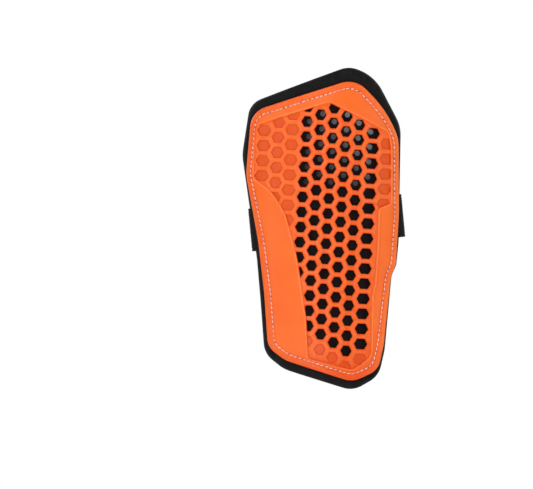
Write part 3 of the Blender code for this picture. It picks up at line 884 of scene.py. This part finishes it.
def webbing(name, path_at):
    """A band of woven elastic. path_at(v) is its middle line at that place across its width."""
    half = STRAP_WIDTH / 2
    turns = np.linspace(-1, 1, BAND_POINTS)
    across = half * np.sign(turns) * (1 - (1 - np.abs(turns)) ** BAND_CROWDING)
    rows = []
    for side, places in ((1, across), (-1, across[-2:0:-1])):
        for v in places:
            path = path_at(v)
            step = np.gradient(path, axis=0)
            normal = np.stack([step[:, 1], -step[:, 0]], 1)
            normal /= np.linalg.norm(normal, axis=1)[:, None]
            # Flat with round edges, and the ribs' tops within the webbing's thickness.
            edge = (half - abs(v)) / BAND_ROUND
            lift = MIDDLE * math.sqrt(max(0.0, 1 - max(0.0, 1 - edge) ** 2) * 0.8 + 0.04)
            # Each line's light is painted: a highlight on the ribs' tops and the selvedges,
            # painted shade in the grooves.
            if abs(v) < half - SELVEDGE_GROOVE:
                turn = math.cos(math.tau * v / RIB_PITCH)
                rib, light = RIB_RISE * turn, 0.5 + 0.5 * turn
            elif abs(v) < half - SELVEDGE_WIDTH:
                rib, light = GROOVE_SINK, 0.0
            else:
                rib, light = 0.0, 0.9
            rows.append((v, path + normal * side * (lift + rib - 0.1), light, path))
    count = len(rows[0][1])
    vertices, lights, uvs = [], [], []
    for v, line, light, path in rows:
        for (s, y), u in zip(line, path_lengths(path)):
            vertices.append(spot3(s, y, v))
            lights.append(light)
            uvs.append((u, v))
    n = len(rows)
    faces = [
        (i * count + k, i * count + k + 1, (i + 1) % n * count + k + 1, (i + 1) % n * count + k)
        for i in range(n)
        for k in range(count - 1)
    ]
    faces.append([i * count for i in range(n)])
    faces.append([i * count + count - 1 for i in reversed(range(n))])
    mesh = bpy.data.meshes.new(name)
    mesh.from_pydata(vertices, [], faces)
    mesh.materials.append(ELASTIC)
    give_uvs(mesh, "weave", uvs)
    mesh.attributes.new("crest", "FLOAT", "POINT").data.foreach_set("value", lights)
    obj = shaded(name, mesh, 60)
    turn_outwards(mesh)
    return obj


def strap_level(s):
    """The strap's middle line rises from the fold to where the free end starts."""
    share = min(1.0, max(0.0, (s - STRAP_FOLD) / (JOIN - STRAP_FOLD)))
    return STRAP_LEVEL + MIDDLE + (END_LEVEL - STRAP_LEVEL) * share


def fold_path(fold, side, ends):
    """From the tuck under the shell, round the pad's edge, and on along these (s, y) corners."""

    def path_at(v):
        riser = fold - side * (MIDDLE - 0.05)
        corners = []
        for s, lower in ((fold - side * TUCK, 0), (fold - side * 5.0, 0), (riser, 0.6)):
            corners.append((s, float(face_y(*place(s, v), FOAM_FRONT + MIDDLE)) + lower))
        corners += [(riser, STRAP_LEVEL + MIDDLE), *ends]
        return corner_path(corners, FOLD_ROUND, FOLD_STEP)

    return path_at


def even(path_at, samples):
    """The same number of points on every line across the band."""

    def made(v):
        path = path_at(v)
        run = path_lengths(path)
        at = np.linspace(0, run[-1], samples)
        return np.stack([np.interp(at, run, path[:, k]) for k in (0, 1)], 1)

    return made


def make_webbing():
    strap_path = fold_path(STRAP_FOLD, -1, [(SEAM, strap_level(SEAM))])
    strap_start = webbing("strap_root", even(strap_path, 70))
    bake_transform(strap_start)
    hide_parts("strap_anchor")

    def free(v):
        end = FREE_END * (1 - END_CURVE * (2 * abs(v) / STRAP_WIDTH) ** 4)
        level = END_LEVEL + MIDDLE
        corners = [(SEAM, strap_level(SEAM)), (JOIN, level), (end, level)]
        return corner_path(corners, FREE_ROUND, FREE_STEP)

    strap_free = webbing("strap_free", even(free, 44))
    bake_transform(strap_free)
    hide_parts("strap", "strap_end")

    tab_path = fold_path(TAB_FOLD, 1, [(TAB_END, STRAP_LEVEL + MIDDLE)])
    tab = webbing("tab_loop", even(tab_path, 84))
    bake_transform(tab)
    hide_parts("tab_anchor", "tab")


def make_hooks():
    """Hook tape: a thin slab with rounded corners, its hooks facing the tab."""
    half = STRAP_WIDTH / 2 - HOOK_INSET
    inner = ((HOOK_START, -half, 1.2), (HOOK_START, half, 1.2))
    outer = ((HOOK_END, half, 2.2), (HOOK_END, -half, 2.2))
    flat = rounded(inner + outer, 1.0)
    solid = Solid()
    rings = []
    layers = ((0.25, 0.0), (0.0, 0.2), (0.0, HOOK_THICKNESS - 0.25), (0.3, HOOK_THICKNESS))
    for pull, y in layers:
        loop = [place(s, v) for s, v in inset(flat, pull)]
        rings.append(solid.ring(loop, np.full(len(loop), HOOK_LEVEL + y)))
    for ring, after in zip(rings, rings[1:]):
        solid.wall(ring, after)
    solid.faces += [rings[0][::-1], rings[-1]]
    solid.slots += [0, 0]
    obj = solid.make("hook_tape", [HOOKS], sharp=40)
    turn_outwards(obj.data)
    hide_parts("hook_patch")
    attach(obj, "strap_end")


# ---------------------------------------------------------------- stitches
def stitches(name, runs, materials, radius):
    """One mesh of short thread humps. Each run is (start, end, outward, tint, slot)."""
    vertices, faces, slots, uvs, tints = [], [], [], [], []
    around, along = 8, 7
    for start, end, outward, tint, slot in runs:
        start, end, out = (np.array(p, float) for p in (start, end, outward))
        out /= np.linalg.norm(out)
        axis = end - start
        length = np.linalg.norm(axis)
        axis /= length
        side = np.cross(axis, out)
        first = len(vertices)
        for i in range(along):
            # It bows out of the surface, and thins where it goes in.
            t = i / (along - 1)
            bow = math.sin(math.pi * t)
            centre = start + axis * length * t + out * radius * (1.1 * bow**0.7 - 0.9)
            thick = radius * (0.5 + 0.5 * bow**0.5)
            for k in range(around):
                a = math.tau * k / around
                vertices.append((centre + (side * math.cos(a) + out * math.sin(a)) * thick) * MM)
                uvs.append((t * length * 1.6, k * 0.35))
                tints.append(tint)
        for i in range(along - 1):
            for k in range(around):
                a, b = first + i * around + k, first + i * around + (k + 1) % around
                faces.append((a, b, b + around, a + around))
                slots.append(slot)
        last = first + (along - 1) * around
        faces.append(tuple(range(first + around - 1, first - 1, -1)))
        faces.append(tuple(range(last, last + around)))
        slots += [slot, slot]
    mesh = bpy.data.meshes.new(name)
    mesh.from_pydata(vertices, [], faces)
    for one in materials:
        mesh.materials.append(one)
    mesh.polygons.foreach_set("material_index", slots)
    give_uvs(mesh, "twist", uvs)
    mesh.attributes.new("tint", "FLOAT", "POINT").data.foreach_set("value", tints)
    obj = shaded(name, mesh)
    turn_outwards(mesh)
    return obj


def face_point(x, z, depth):
    return np.array([x, float(face_y(x, z, depth)), z])


def face_outward(x, z):
    """Away from the drum's axis, and from the middle along it."""
    away = face_point(x, z, 0) - np.array([0, SHELL_RADIUS - PAD_DEPTH, z])
    away[2] = z * SHELL_RADIUS / FLARE_RADIUS
    return away / np.linalg.norm(away)


def make_edge_stitching():
    draw = random.Random(4)
    line = stitch_line(0.8)
    line = np.vstack([line, line[:1]])
    run = path_lengths(line)
    count = round(run[-1] / EDGE_PITCH)
    pitch = run[-1] / count

    def along(at):
        return [np.interp(at % run[-1], run, line[:, i]) for i in (0, 1)]

    runs = []
    for k in range(count):
        low = k * pitch + draw.uniform(-0.12, 0.12)
        high = low + EDGE_STITCH + draw.uniform(-0.2, 0.15)
        points = []
        for at, off in ((low, -EDGE_SLANT), (high, EDGE_SLANT)):
            x, z = along(at)
            lead = np.array(along(at + 0.5)) - (x, z)
            lead /= np.linalg.norm(lead)
            points.append((x - lead[1] * off, z + lead[0] * off))
        (x0, z0), (x1, z1) = points
        out = face_outward((x0 + x1) / 2, (z0 + z1) / 2)
        ends = [face_point(x, z, 0.1) for x, z in points]
        runs.append((*ends, out, draw.random() ** 2 * 0.6, 0))
        # Some gaps get a short dark piece sunk below the stitches: painted shade in the needle
        # holes.
        if draw.random() < SHADED_SHARE:
            gap = pitch * (k + 1) - SHADED_LENGTH
            ends = [face_point(*along(at), 0.17) for at in (gap, gap + SHADED_LENGTH)]
            runs.append((*ends, out, 1.0, 1))
    obj = stitches("edge_stitches", runs, [PALE, SHADED], EDGE_THREAD)
    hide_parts("edge_stitching")
    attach(obj, "guard")


def make_hook_stitching():
    draw = random.Random(7)
    runs = []
    level = END_LEVEL + STRAP_THICKNESS - 0.05
    for v in np.arange(-HOOK_ROW_HALF, HOOK_ROW_HALF, HOOK_PITCH):
        shift = draw.uniform(-0.1, 0.1)
        a, b = place(HOOK_ROW + shift, v), place(HOOK_ROW - shift, v + HOOK_STITCH)
        ends = [(x, level, z) for x, z in (a, b)]
        runs.append((*ends, (0, 1, 0), draw.random() * 0.4, 0))
    obj = stitches("hook_stitches", runs, [DARK], HOOK_THREAD)
    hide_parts("hook_stitching")
    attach(obj, "strap_end")


# ---------------------------------------------------------------- the object
shell = make_shell()
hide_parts("shell")
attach(shell, "guard")
pad = make_pad()
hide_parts("foam_pad")
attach(pad, "guard")
lining = make_lining()
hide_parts("lining")
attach(lining, "guard")
make_webbing()
make_hooks()
make_edge_stitching()
make_hook_stitching()

# ---------------------------------------------------------------- stage, lights and camera
FLOOR_LEVEL, FLOOR_REACH = -0.45, 3.6
floor_mesh = bpy.data.meshes.new("floor")
corners = [(-1, -1), (1, -1), (1, 1), (-1, 1)]
corners = [(x * FLOOR_REACH, y * FLOOR_REACH, FLOOR_LEVEL) for x, y in corners]
floor_mesh.from_pydata(corners, [], [(0, 1, 2, 3)])
floor = linked("floor", floor_mesh)
pale = Nodes("pale_floor")
pale.set(Base_Color=(0.35, 0.35, 0.35, 1), Roughness=0.9, Specular_IOR_Level=0.1)
pale.set(Emission_Color=(1, 1, 1, 1), Emission_Strength=0.72)
floor_mesh.materials.append(pale.material)

# The studio looks white, and lights the object less than that, so that the softboxes shape it.
world = bpy.data.worlds.new("studio")
bpy.context.scene.world = world
world.use_nodes = True
studio = world.node_tree
seen = studio.nodes.new("ShaderNodeLightPath").outputs["Is Camera Ray"]
level = studio.nodes.new("ShaderNodeMapRange")
level.inputs["To Min"].default_value = 0.36
studio.links.new(seen, level.inputs["Value"])
studio.links.new(level.outputs["Result"], studio.nodes["Background"].inputs["Strength"])
studio.nodes["Background"].inputs["Color"].default_value = (1, 1, 1, 1)


def softbox(name, place_at, width, height, power):
    """An area light that looks at the object."""
    light = bpy.data.lights.new(name, "AREA")
    light.shape, light.size, light.size_y, light.energy = "RECTANGLE", width, height, power
    obj = linked(name, light)
    obj.location = place_at
    obj.rotation_euler = (-Vector(place_at)).to_track_quat("-Z", "Y").to_euler()


softbox("key", (-0.55, -1.6, 0.7), 0.7, 0.7, 9.5)
softbox("front", (-0.1, -1.9, 0.1), 0.5, 0.5, 7.5)
softbox("left", (-1.05, -0.75, 0.2), 0.35, 1.0, 4.2)
softbox("right", (1.05, -0.75, 0.2), 0.35, 1.0, 4.4)
softbox("top", (0, -0.4, 1.2), 0.8, 0.8, 2.0)
softbox("back_left", (-0.9, 1.0, 0.6), 0.6, 0.8, 6.0)
softbox("back_right", (0.9, 1.0, 0.6), 0.6, 0.8, 6.0)

# The picture's frame is this wide at the guard's middle depth.
CAMERA_DISTANCE, FRAME_WIDTH, FRAME_PLACE, SENSOR = 2.6, 0.3688, -0.006, 36
camera_data = bpy.data.cameras.new("camera")
camera_data.sensor_width = SENSOR
camera_data.lens = SENSOR * (CAMERA_DISTANCE + FRAME_PLACE) / FRAME_WIDTH
camera = linked("camera", camera_data)
camera.location = (-0.0397, -CAMERA_DISTANCE, -0.0108)
camera.rotation_euler = (math.radians(90), 0, 0)
bpy.context.scene.camera = camera
bpy.context.scene.view_settings.view_transform = "Standard"
